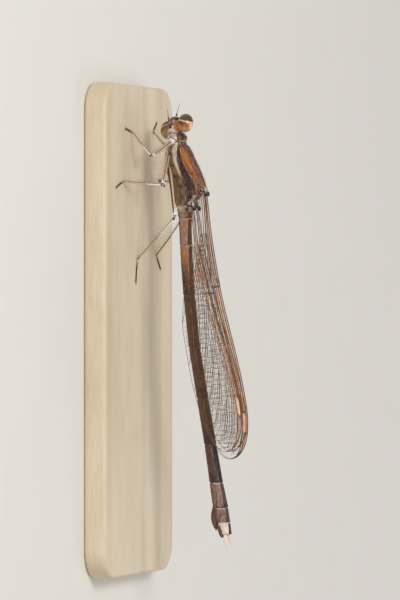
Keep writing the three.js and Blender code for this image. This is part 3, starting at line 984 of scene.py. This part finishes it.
def legPieces(name, number):
    pair = name.split("_")[0]
    hip, knee, ankle, claw = legJoints(name)
    plane = unit(np.cross(knee - hip, ankle - knee))
    outerThigh, outerShin = np.cross(unit(knee - hip), plane), np.cross(unit(ankle - knee), plane)
    around = legLook["around"]
    side = np.cos(np.linspace(0, 2 * math.pi, around, endpoint=False))[None]
    body = np.array((hip[0] - 0.25, hip[1] * 0.35, hip[2] + 0.25))
    sole = baseTop + legLook["foot"][0] + 0.01
    low = np.array((ankle[0], ankle[1], sole + 0.03))
    toe = np.array((claw[0], claw[1], sole - 0.01))

    t = np.linspace(0, 1, 26)
    points = [body, (body + hip) / 2 + (0, 0, -0.05), hip, hip + unit(knee - hip) * 0.3]
    radii = legLook["coxaRadius"][pair] * (1 - 0.5 * ease(t, 0.35, 0.95)) * (1 - 0.16 * bell(t, 0.66, 0.05))
    # the hip is pink all over; its near-white colour is partly a painted highlight
    masks = {"pink": 1 + 0 * t, "stripe": 0.9 * bell(t, 0.66, 0.04), "dark": 0.5 * bell(t, 0.9, 0.04)}
    keep(addTube(f"hip_{name}", points, radii, legShell, masks, around, 1, plane), "leg")

    t = np.linspace(0, 1, 60)
    points = [hip, hip * 0.5 + knee * 0.5 + outerThigh * 0.04, knee - unit(ankle - knee) * 0.02]
    radii = taper("thigh", t) * (1 + 0.12 * bell(t, 0.3, 0.25)) * (1 - 0.25 * bell(t, 0, 0.04))
    radii = radii + 0.02 * bell(t, 0.97, 0.03)
    radii[-2:] *= (0.85, 0.55)
    masks = {
        "pink": bell(t, 0.95, 0.1),
        # the thigh's dark stripe, on the hind legs wide enough to be partly painted shade
        "stripe": bell(side, 0, legLook["stripeWidth"][pair]) * band(t, 0.06, 0.93, 0.03)[:, None],
        "dark": bell(t, 0.985, 0.012) + 0.8 * bell(t, 0.02, 0.012),
    }
    thigh = addTube(f"thigh_{name}", points, radii, legShell, masks, around, 0.9, plane)
    keep(thigh, "leg", f"leg_{name}_femur")

    points = [knee, (knee + low) / 2 + outerShin * 0.05, low]
    radii = taper("shin", t) + 0.03 * bell(t, 0.03, 0.05) + 0.015 * bell(t, 0.97, 0.03)
    radii[[0, -1]] *= 0.6
    masks = {
        "pink": bell(t, 0.2, 0.25),
        "stripe": bell(side, 0, 0.4) * band(t, 0.05, 0.97, 0.02)[:, None],
        "dark": bell(t, 0.02, 0.03) + 0.7 * ease(t, 0.9, 1),
    }
    shin = addTube(f"shin_{name}", points, radii, legShell, masks, around, 1, plane)
    keep(shin, "leg", f"leg_{name}_tibia")

    t = np.linspace(0, 1, 54)
    points = [low, low * 0.55 + toe * 0.45 + (0, 0, -0.02), toe]
    joints = bell(t, 0.2, 0.02) + bell(t, 0.5, 0.02)
    radii = taper("foot", t) * (1 - 0.35 * joints)
    radii = radii * (1 + 0.15 * (bell(t, 0.17, 0.03) + bell(t, 0.47, 0.03) + bell(t, 0.95, 0.04)))
    radii[[0, -1]] *= 0.6
    masks = {"pink": 0 * t, "stripe": joints, "dark": 0.35 + 0.65 * ease(t, 0.1, 0.5)}
    keep(addTube(f"foot_{name}", points, radii, legShell, masks, 16), "leg", f"leg_{name}_tarsus")

    ahead = unit(toe - low) * (1, 1, 0)
    apart = np.cross(ahead, (0, 0, 1))
    reach = spine["clawLength"]
    for end, way in sides.items():
        out = unit(ahead + apart * way * 0.75)
        hook = pathAt([toe, toe + out * reach * 0.5 + (0, 0, 0.035), toe + out * reach + (0, 0, -0.03)], 16)
        radii = np.linspace(spine["clawRadius"], 0.005, 16)
        hook[:, 2] = np.maximum(hook[:, 2], baseTop + radii)
        keep(addLoft(f"claw_{name}_{end}", tubeRings(hook, radii, 8), spineHorn), "leg")

    across = 0.1 + 0.15 * number        # where this leg's spines start on the unwrap
    roots = spineRows(hip, knee, -outerThigh, plane, "thigh", (across, 0.05))
    roots += spineRows(knee, low, -outerShin, plane, "shin", (across, 0.2))
    for i in range(spine["footPairs"]):
        share = (i + 0.5) / spine["footPairs"]
        for row in (-1, 1):
            way = unit(apart * row + ahead * 0.6 + (0, 0, -0.15))
            spot = low + (toe - low) * share + apart * row * legLook["foot"][1] * 0.8
            mapped = (across + 0.03 * row, 0.35 + 0.09 * share)
            roots.append((spot, way, ahead, spine["lengths"]["foot"], mapped))
    rows = addBristles(f"bristles_{name}", roots, spineHorn, spine["radius"], spine["bend"], number + 1)
    keep(rows, "leg")


for number, name in enumerate(f"{pair}_{side}" for pair in ("front", "middle", "hind") for side in sides):
    legPieces(name, number)
print("legs made")

# Tail: egg-laying blades under the last rings, and two pale claspers

tail = {
    "clasperRadius": 0.19,
    "plates": {                         # place behind the last ring, then radii
        "top": ((0, 0, 0.12), (0.16, 0.16, 0.14)),
        "left": ((0.02, -0.17, -0.16), (0.2, 0.17, 0.2)),
        "right": ((0.02, 0.17, -0.16), (0.2, 0.17, 0.2)),
    },
    "grain": 0.1, "bumpSize": 0.04, "bump": 0.4, "rough": (0.3, 0.5), "coat": 0.2,
    "ground": rgb(250, 236, 222), "shade": rgb(222, 196, 178), "base": rgb(170, 128, 104),
    "layers": {"base": 0.4},
}
blade = {
    "radius": 0.3,
    "toothDepth": 0.02,
    "lobe": [(16.5, -0.28, 9.14), (17.15, -0.34, 9.34), (17.72, -0.3, 9.52)], "lobeRadius": 0.25,
    "grain": 0.1, "bumpSize": 0.04, "bump": 0.4, "rough": (0.3, 0.5), "coat": 0.2,
    "ground": rgb(112, 78, 58), "shade": rgb(68, 44, 36), "edge": rgb(44, 28, 24),
    "layers": {"edge": 0.3},
}


def tailPieces():
    pale, brown = shellMaterial("clasperShell", tail), shellMaterial("bladeShell", blade)
    t = np.linspace(0, 1, 40)
    radii = tail["clasperRadius"] * np.sqrt(np.clip(1 - np.maximum(t - 0.02, 0) ** 1.6, 0.004, 1))
    radii = radii * (1 - 0.25 * bell(t, 0, 0.1))
    masks = {"base": 0.8 * bell(t, 0.03, 0.05) + 0.6 * ease(t, 0.93, 1)}
    for side in sides:
        start, end = sorted(limbEnds(f"cercus_{side}"), key=lambda point: point[0])
        points = [start + (-0.15, 0, 0), (start + end) / 2 + (0, 0, 0.03), end]
        clasper = addTube(f"clasper_{side}", points, radii, pale, masks, 20, 0.8)
        keep(clasper, "pale_cuticle", f"cercus_{side}")
    low, high = boxOf("ovipositor")
    t = np.linspace(0, 1, 60)
    radii = blade["radius"] * np.sqrt(np.clip(1 - (2 * t - 1) ** 2 * 0.93, 0, 1))
    masks = {"edge": bell(t, 1, 0.1) + 0.5 * bell(t, 0, 0.1)}
    teeth = blade["toothDepth"] * (np.arange(60) % 3 == 0) * ease(t, 0.4, 0.5)
    for side, way in sides.items():
        start = np.array((low[0] - 0.1, way * 0.1, high[2] - 0.3))
        end = np.array((high[0] - 0.12, way * 0.13, (low[2] + high[2]) / 2 + 0.12))
        path = pathAt([start, (start + end) / 2 + (0.1, way * 0.06, -0.12), end], 60)
        rings = tubeRings(path, radii, 24, 0.45, (0, 1, 0))
        rings[:, 15:22, 2] -= teeth[:, None]
        keep(addLoft(f"blade_{side}", rings, brown, masks), "cuticle", "ovipositor")
        root = end + (-0.1, 0, -0.02)
        points = [root, root + (0.16, way * 0.02, -0.02), root + (0.3, way * 0.03, 0.03)]
        keep(addTube(f"stylus_{side}", points, np.linspace(0.045, 0.014, 20), brown, around=10), "cuticle")
    t = np.linspace(0, 1, 50)
    radii = blade["lobeRadius"] * np.sqrt(np.clip(1 - (2 * t - 1) ** 4 * 0.96, 0, 1))
    masks = {"edge": bell(t, 1, 0.12) + bell(t, 0, 0.1)}
    keep(addTube("valveLobe", blade["lobe"], radii, brown, masks, 24, 0.7, (0, 1, 0)), "cuticle")
    end = boxOf("abdomen_10")[1][0]
    lastRing = np.array((end, 0, float(bodyAt(abdomenTable, end)[0])))
    for name, (place, radii) in tail["plates"].items():
        plate = addBlob(f"endPlate_{name}", [((0, 0, 0), radii)], pale, None, lastRing + place, detail=4)
        keep(plate, "pale_cuticle")


tailPieces()
print("tail made")

# Wings: each a thin pleated film with a net of veins and a long pale spot near its tip

wing = {
    "fore": {"length": 23.2, "back": 2.32, "slope": 7.5, "root": (-12.05, 5.6), "spot": (0.838, 0.912)},
    "hind": {"length": 21.4, "back": 2.02, "slope": 10, "root": (-10.75, 4.72), "spot": (0.79, 0.868)},
    "front": 1.87,              # greatest width before and behind the wing's middle line, in millimetres
    "stalk": 0.27,
    "swell": 0.17,              # extra width in front of the first third
    "pleat": 0.05,
    "film": 0.016,              # thickness
    "cross": 0.42,              # spacing of the cross veins
    "crossThick": 0.0098,
    "cell": 0.32,               # widest cell
    "bounds": (0.026, 0.06),    # thickness of the short veins at the stalk's end and at the nodus
    "spotThick": 0.045,         # from the film to the top of the long spot
    "nodus": 0.365,             # share of the length
    "rootShare": 0.33,          # share of the length with browner film
    "alpha": 0.022, "rootAlpha": 0.065, "amberAlpha": 0.17,
    "tint": rgb(112, 74, 26), "rootTint": rgb(176, 112, 40), "amber": rgb(200, 122, 20),
    # the long veins: name, thickness, then share of the length and lane,
    # 1 at the front margin and -1 at the back
    "veins": [
        ("costa", 0.042, (0, 1), (1, 1)),
        ("subcosta", 0.026, (0, 0.6), (0.15, 0.62), (0.3, 0.74), (0.365, 0.98)),
        ("radius", 0.036, (0, 0.28), (0.15, 0.3), (0.36, 0.62), (0.6, 0.79), (0.85, 0.84), (0.95, 0.82),
         (0.99, 0.9)),
        ("firstBranch", 0.02, (0.17, 0.16), (0.36, 0.44), (0.6, 0.62), (0.8, 0.64), (0.93, 0.5),
         (0.985, 0.2)),
        ("between", 0.014, (0.6, 0.5), (0.75, 0.47), (0.9, 0.26), (0.97, -0.1)),
        ("secondBranch", 0.018, (0.44, 0.4), (0.6, 0.36), (0.78, 0.24), (0.9, -0.12), (0.94, -0.7)),
        ("middleLine", 0.017, (0.25, 0.2), (0.4, 0.24), (0.6, 0.14), (0.78, -0.12), (0.87, -0.55),
         (0.89, -1)),
        ("thirdBranch", 0.017, (0.27, 0.1), (0.45, 0.06), (0.62, -0.1), (0.76, -0.45), (0.82, -1)),
        ("media", 0.018, (0.17, 0.02), (0.35, -0.1), (0.55, -0.3), (0.68, -0.6), (0.74, -1)),
        ("backMedia", 0.017, (0.17, -0.16), (0.33, -0.34), (0.48, -0.56), (0.6, -0.85), (0.64, -1)),
        ("cubitus", 0.02, (0, -0.3), (0.17, -0.34), (0.26, -0.66), (0.38, -0.82), (0.47, -1)),
        ("margin", 0.02, (0, -1), (1, -1)),
    ],
}
veinLook = {
    "grain": 0.8, "bumpSize": 0.05, "bump": 0.1, "rough": (0.3, 0.45),
    "ground": rgb(120, 78, 38), "shade": rgb(74, 44, 22),
}
spotLook = {
    "grain": 0.2, "stretch": (3, 1, 1), "bumpSize": 0.05, "bump": 0.3, "rough": (0.3, 0.45), "coat": 0.2,
    "ground": rgb(240, 204, 176), "shade": rgb(206, 152, 120), "edge": rgb(128, 62, 30),
    "layers": {"edge": 0.2},
}
wingNodes = [f"{pair}wing_{side}" for pair in ("fore", "hind") for side in sides]
longVeins = {vein[0]: vein for vein in wing["veins"]}


def wingKind(node):
    return wing["fore"] if node.startswith("fore") else wing["hind"]


def wingWidths(kind, share):
    # widths in front of and behind the middle line
    front = wing["stalk"] + (wing["front"] - wing["stalk"]) * ease(share, 0.1, 0.85)
    front = front + wing["swell"] * bell(share, 0.27, 0.14)
    back = wing["stalk"] + (kind["back"] - wing["stalk"]) * ease(share, 0.12, 0.52)
    frontRound = np.sqrt(1 - np.clip((share - 0.81) / 0.19, 0, 1) ** 2.5)
    backRound = np.sqrt(1 - np.clip((share - 0.63) / 0.37, 0, 1) ** 2)
    return front * frontRound, back * backRound


def wingMiddle(node):
    # how far to the side the CAD blade lies, along its length
    points = nodePoints(node)
    xs = np.linspace(points[:, 0].min(), points[:, 0].max(), 40)
    near = [points[np.abs(points[:, 0] - x) < 1.2, 1] for x in xs]
    ys = np.array([(y.min() + y.max()) / 2 for y in near])
    return xs, np.convolve(np.pad(ys, 3, mode="edge"), np.ones(7) / 7, mode="valid")


def wingPoints(node, share, lane, lift=0.0):
    # places on the wing's pleated surface, raised by lift
    kind = wingKind(node)
    share, lane = np.broadcast_arrays(np.asarray(share, float), np.asarray(lane, float))
    front, back = wingWidths(kind, share)
    across = np.where(lane > 0, front, back) * lane
    slope = math.radians(kind["slope"])
    along = kind["length"] * share
    x = kind["root"][0] + along * math.cos(slope) - across * math.sin(slope)
    z = kind["root"][1] + baseTop + along * math.sin(slope) + across * math.cos(slope)
    fromFront = front - across
    pleat = np.cos(fromFront * 2 * math.pi / 0.66) * np.exp(-fromFront / 1.3) * ease(share, 0, 0.1)
    xs, ys = wing["middles"][node]
    y = np.interp(x, xs, ys) + wing["pleat"] * pleat + lift
    return np.stack([x, y, z], -1)


def laneOf(vein, share):
    points = np.array(vein[2:])
    return np.interp(share, points[:, 0], points[:, 1])


def veinNet(node):
    # corners, edges and thickness of the net: long veins, cross veins, and finer lines
    # where cells would be too wide
    kind = wingKind(node)
    places, thick, edges = [], [], []

    def corner(share, lane, radius):
        places.append((share, lane))
        thick.append(radius)
        return len(places) - 1

    def laneWidth(share, top, foot):
        front, back = wingWidths(kind, np.array(share))
        return abs(float(top * (front if top > 0 else back) - foot * (front if foot > 0 else back)))

    def line(shares, lanes, radius):
        row = [corner(s, l, radius) for s, l in zip(shares, lanes)]
        edges.extend(zip(row, row[1:]))

    for vein in wing["veins"]:
        points = np.array(vein[2:])
        count = int(12 + 90 * (points[-1, 0] - points[0, 0]))
        shares = np.linspace(points[0, 0], points[-1, 0], count)
        if vein[0] in ("costa", "margin"):
            shares = 1 - (1 - shares) ** 1.6
        line(shares, laneOf(vein, shares), vein[1])
    step = wing["cross"] / kind["length"]
    stations = np.arange(0.06, 0.985, step)
    rows, counts = {}, {}
    for k, station in enumerate(stations):
        live = [v for v in wing["veins"] if v[2][0] - 1e-6 <= station <= v[-1][0] + 1e-6]
        live.sort(key=lambda vein: -laneOf(vein, station))
        for order, (above, below) in enumerate(zip(live, live[1:])):
            key = (above[0], below[0])
            s = station + (step * 0.5 if (order % 2) else 0) + 0.1 * step * math.sin(7.3 * k + 3.1 * order)
            gap = 3 if station < 0.16 else 1
            if above[0] == "costa":
                gap = 4 if station < wing["nodus"] else 2
            if s > min(above[-1][0], below[-1][0]) or k % gap:
                continue
            if above[0] == "costa" and kind["spot"][0] - 0.004 < s < kind["spot"][1] + 0.004:
                continue
            top, foot = laneOf(above, s), laneOf(below, s)
            width = laneWidth(s, top, foot)
            if key not in counts:
                spots = np.linspace(max(above[2][0], below[2][0]), min(above[-1][0], below[-1][0]), 20)
                widest = max(laneWidth(spot, laneOf(above, spot), laneOf(below, spot)) for spot in spots)
                counts[key] = max(1, int(round(widest / wing["cell"])))
            row, inner = [corner(s, top, wing["crossThick"])], {}
            for c in range(1, counts[key]):
                if width / counts[key] < wing["cell"] * (0.56 + 0.14 * math.sin(5 * c)):
                    continue
                zig = step * 0.13 * (1 if (c + k) % 2 else -1)
                inner[c] = corner(s + zig, top + (foot - top) * c / counts[key], wing["crossThick"])
                row.append(inner[c])
            row.append(corner(s, foot, wing["crossThick"]))
            edges.extend(zip(row, row[1:]))
            before = rows.get(key, {})
            edges.extend((before[c], inner[c]) for c in inner if c in before)
            rows[key] = inner
    line([0.165] * 6, np.linspace(0.3, -0.34, 6), wing["bounds"][0])
    lanes = np.linspace(1, 0.4, 8)
    line([wing["nodus"] + 0.002 * math.sin(3 * lane) for lane in lanes], lanes, wing["bounds"][1])
    places = np.array(places)
    return wingPoints(node, places[:, 0], places[:, 1]), edges, np.array(thick)


def wingFilm(node, name, material, low, high, start=0.0, end=0.9995):
    # a closed slab of film between two lanes, each a function of the share of the length
    shares = start + (end - start) * (1 - (1 - np.linspace(0, 1, 130)) ** 1.5)[:, None]
    across = 0.5 + 0.5 * np.sin(np.linspace(-math.pi / 2, math.pi / 2, 34))[None]
    lane = low(shares) + (high(shares) - low(shares)) * across
    top = wingPoints(node, shares, lane, wing["film"] / 2)
    under = wingPoints(node, shares, lane, -wing["film"] / 2)
    rings = np.concatenate([top, under[:, ::-1]], 1)
    return keep(addLoft(f"{node}_{name}", rings, material), "wing", node)


def wingSpot(node, material):
    # the thick pale cell between the costa and the radius
    kind = wingKind(node)
    u = np.linspace(0, 1, 40)
    shares = kind["spot"][0] + (kind["spot"][1] - kind["spot"][0]) * u
    rings = []
    around = np.linspace(0, 2 * math.pi, 20, endpoint=False)
    for share, t in zip(shares, u):
        low, high = laneOf(longVeins["radius"], share), 1.0
        closing = math.sqrt(max(0.02, 1 - (2 * t - 1) ** 8))
        lanes = (low + high) / 2 + (high - low) / 2 * np.cos(around) * closing
        skew = 0.008 * np.cos(around)
        rings.append(wingPoints(node, share + skew, lanes, wing["spotThick"] * np.sin(around)))
    edge = (bell(u, 0, 0.05) + bell(u, 1, 0.05))[:, None] + bell(np.abs(np.cos(around)), 1, 0.4)
    return keep(addLoft(f"{node}_spot", np.array(rings), material, {"edge": edge}), "wing")


def backMargin(share):
    return -1 + 0 * share


def frontMargin(share):
    return 1 + 0 * share


def amberEdge(share):
    # where the clear film ends and the amber strip along the front margin starts
    radius, branch = laneOf(longVeins["radius"], share), laneOf(longVeins["firstBranch"], share)
    return radius + (branch - radius) * ease(share, 0.17, 0.24) * (1 - ease(share, 0.85, 0.9))


def addWings():
    wing["middles"] = {node: wingMiddle(node) for node in wingNodes}
    films = {}
    for name, alpha, *tints in (("clearFilm", "alpha", "tint", "rootTint"),
                                ("rootFilm", "rootAlpha", "rootTint", "amber"),
                                ("amberFilm", "amberAlpha", "amber", "tint")):
        films[name], tree, shader = newMaterial(name)
        cloud = rangeOf(tree, noiseOf(tree, 1.2, 3), 0.3, 0.8, (0, 0.5))
        tree.links.new(mixOf(tree, cloud, wing[tints[0]], wing[tints[1]]), shader.inputs["Base Color"])
        addBump(tree, shader, noiseOf(tree, 0.25, 2), 0.3, 0.02)
        gloss = rangeOf(tree, noiseOf(tree, 0.8, 2), 0.3, 0.7, (0.16, 0.3))
        tree.links.new(gloss, shader.inputs["Roughness"])
        shader.inputs["Alpha"].default_value = wing[alpha]
    horn, pale = shellMaterial("veinHorn", veinLook), shellMaterial("spotShell", spotLook)
    for node in wingNodes:
        wingFilm(node, "film", films["clearFilm"], backMargin, amberEdge, start=wing["rootShare"])
        wingFilm(node, "rootFilm", films["rootFilm"], backMargin, amberEdge, end=wing["rootShare"])
        wingFilm(node, "amberFilm", films["amberFilm"], amberEdge, frontMargin)
        points, edges, thick = veinNet(node)
        net = addMesh(f"{node}_veins", points, [], horn, {"thick": thick * mm}, edges)
        applyTree(net, veins, {"Sides": 5, "Material": horn})
        keep(net, "wing")
        wingSpot(node, pale)


addWings()
print("wings made")

# Wing roots: knobs and plates between the thorax and each wing

wingRoot = {
    "parts": {          # share of the wing's length, lane and radii
        "hinge": (0.004, 0.2, (0.3, 0.17, 0.3)),
        "boss": (0.02, 1.3, (0.2, 0.12, 0.13)),
        "plate": (0.016, -1.1, (0.22, 0.12, 0.14)),
    },
    "blots": [((0.12, -0.1, 0.12), 0.15), ((-0.16, 0.05, -0.1), 0.13), ((0.02, -0.14, -0.14), 0.14),
              ((-0.14, -0.1, 0.16), 0.12), ((0.2, 0.1, -0.05), 0.13)],
    "grain": 0.12, "bumpSize": 0.05, "bump": 0.8, "rough": (0.3, 0.5), "coat": 0.1, "mottle": 0.6,
    # the near-white ground is partly painted highlight, with dark blots between
    "ground": rgb(240, 222, 214), "shade": rgb(150, 112, 100), "dark": rgb(24, 12, 10),
    "layers": {"dark": 0.9},
}


def wingRoots():
    shell = shellMaterial("wingRootShell", wingRoot)

    def masks(p):
        blots = sum(near(p, spot, width) for spot, width in wingRoot["blots"])
        return {"dark": np.clip(blots, 0, 1)}

    for node in wingNodes:
        slope = math.radians(wingKind(node)["slope"])
        flat, tall = math.cos(slope), math.sin(slope)
        turn = np.array([[flat, 0, -tall], [0, 1, 0], [tall, 0, flat]])
        for name, (share, lane, size) in wingRoot["parts"].items():
            lumps = [((0, 0, 0), size), ((-0.3 * size[0], 0, 0.3 * size[2]), tuple(0.75 * r for r in size))]
            knob = addBlob(f"{node}_{name}", lumps, shell, masks, wingPoints(node, share, lane), turn, 4)
            keep(knob, "cuticle")


wingRoots()
print("wing roots made")

# Base: a small board with softened edges

base = {
    "edge": 0.35,
    "corner": 2.5,
    "ground": rgb(232, 218, 194), "shade": rgb(218, 200, 170), "ring": rgb(198, 174, 140),
}


def baseBoard():
    low, high = boxOf("stand_base")
    material, tree, shader = newMaterial("paleBirch")
    place = addNode(tree, "ShaderNodeTexCoord").outputs["Object"]
    scaled = addNode(tree, "ShaderNodeMapping", {
        "Vector": place, "Location": (0, 4.3, 3.1), "Scale": (45, 1000, 1000),
        "Rotation": (0, 0.012, 0.02)})
    rings = addNode(tree, "ShaderNodeTexWave", {
        "Vector": scaled.outputs[0], "Scale": 0.07, "Distortion": 9, "Detail": 3, "Detail Scale": 0.7},
        wave_type="RINGS", rings_direction="X")
    fibre = noiseOf(tree, 0.11, 5, (16, 1, 1))
    cloud = noiseOf(tree, 2.5, 3, (4, 1, 1))
    wood = mixOf(tree, rangeOf(tree, fibre, 0.3, 0.7), base["shade"], base["ground"])
    wood = mixOf(tree, rangeOf(tree, cloud, 0.35, 0.7, (0, 0.35)), wood, base["ring"])
    lines = rangeOf(tree, rings.outputs["Fac"], 0.55, 1, (0, 0.3))
    tree.links.new(mixOf(tree, lines, wood, base["ring"]), shader.inputs["Base Color"])
    tree.links.new(rangeOf(tree, fibre, 0.3, 0.7, (0.4, 0.6)), shader.inputs["Roughness"])
    addBump(tree, shader, fibre, 0.4, 0.04)
    half, middle = (high - low) / 2, (low + high) / 2
    bends = np.linspace(0, math.pi / 2, 6)
    bevel = [(base["edge"] * (1 - math.sin(a)), base["edge"] * (1 - math.cos(a))) for a in bends]
    profile = [(inset, low[2] + rise) for inset, rise in bevel]
    profile += [(inset, high[2] - rise) for inset, rise in reversed(bevel)]
    rings = []
    for inset, z in profile:
        ring = []
        radius = base["corner"] - inset
        for i, (sx, sy) in enumerate(((1, 1), (-1, 1), (-1, -1), (1, -1))):
            for a in np.linspace(i * math.pi / 2, (i + 1) * math.pi / 2, 12):
                x = middle[0] + sx * (half[0] - base["corner"]) + radius * math.cos(a)
                y = middle[1] + sy * (half[1] - base["corner"]) + radius * math.sin(a)
                ring.append((x, y, z))
        rings.append(ring)
    keep(addLoft("baseBoard", np.array(rings), material), "base", "stand_base")


baseBoard()
print("base made")

# Hair: fine pale hairs on the thorax, the shield and the abdomen

hair = {
    "radius": 0.008,
    "bend": 0.35,
    "seed": 11,
    "thorax": (900, 0.42),          # how many hairs, and their greatest length in millimetres
    "shield": (160, 0.24),
    "abdomen": (900, 0.13),
    "grain": 0.3, "bumpSize": 0.05, "bump": 0.1, "rough": (0.4, 0.5),
    "ground": rgb(228, 208, 176), "shade": rgb(196, 168, 128),
}


def hairOnBody(part, table, material, way, firstMap, extra, spread, inset):
    # spread: least and greatest angle from the back's midline
    count, length = hair[part]
    seed = hair["seed"] + extra
    dice = np.random.default_rng(seed)
    xs = dice.uniform(table[0, 0] + 0.1, table[-1, 0] - 0.1, count)
    turn = np.radians(dice.uniform(*spread, count)) * dice.choice((-1, 1), count)
    height, wide, high = bodyAt(table, xs)
    out = unit(np.stack([np.zeros(count), -np.sin(turn) * high, np.cos(turn) * wide], 1))
    place = np.stack([xs, -(wide - inset) * np.sin(turn), height + (high - inset) * np.cos(turn)], 1)
    lean = unit(np.array(way) + dice.normal(0, 0.15, (count, 3)))
    share = (xs - table[0, 0]) / (table[-1, 0] - table[0, 0])
    roots = []
    for i in range(count):
        spot = (firstMap + 0.4 * share[i], 0.5 + 0.48 * turn[i] / math.pi)
        size = length * dice.uniform(0.6, 1.1)
        roots.append((place[i] - out[i] * 0.02, unit(out[i] + 0.55 * lean[i]), lean[i], size, spot))
    keep(addBristles(f"{part}Hair", roots, material, hair["radius"], hair["bend"], seed), "cuticle")


def addHair():
    pale = shellMaterial("paleHair", hair)
    hairOnBody("thorax", thoraxTable, pale, (1, 0, 0.1), 0.05, 0, (2, 150), thorax["inset"])
    hairOnBody("shield", prothoraxTable, pale, (1, 0, 0.1), 0.05, 1, (5, 110), 0.08)
    hairOnBody("abdomen", abdomenTable, pale, (1, 0, 0), 0.5, 2, (8, 170), abdomen["inset"])


addHair()
print("hair made")

scene.cycles.transparent_max_bounces = 24
scene.view_settings.view_transform = "Standard"
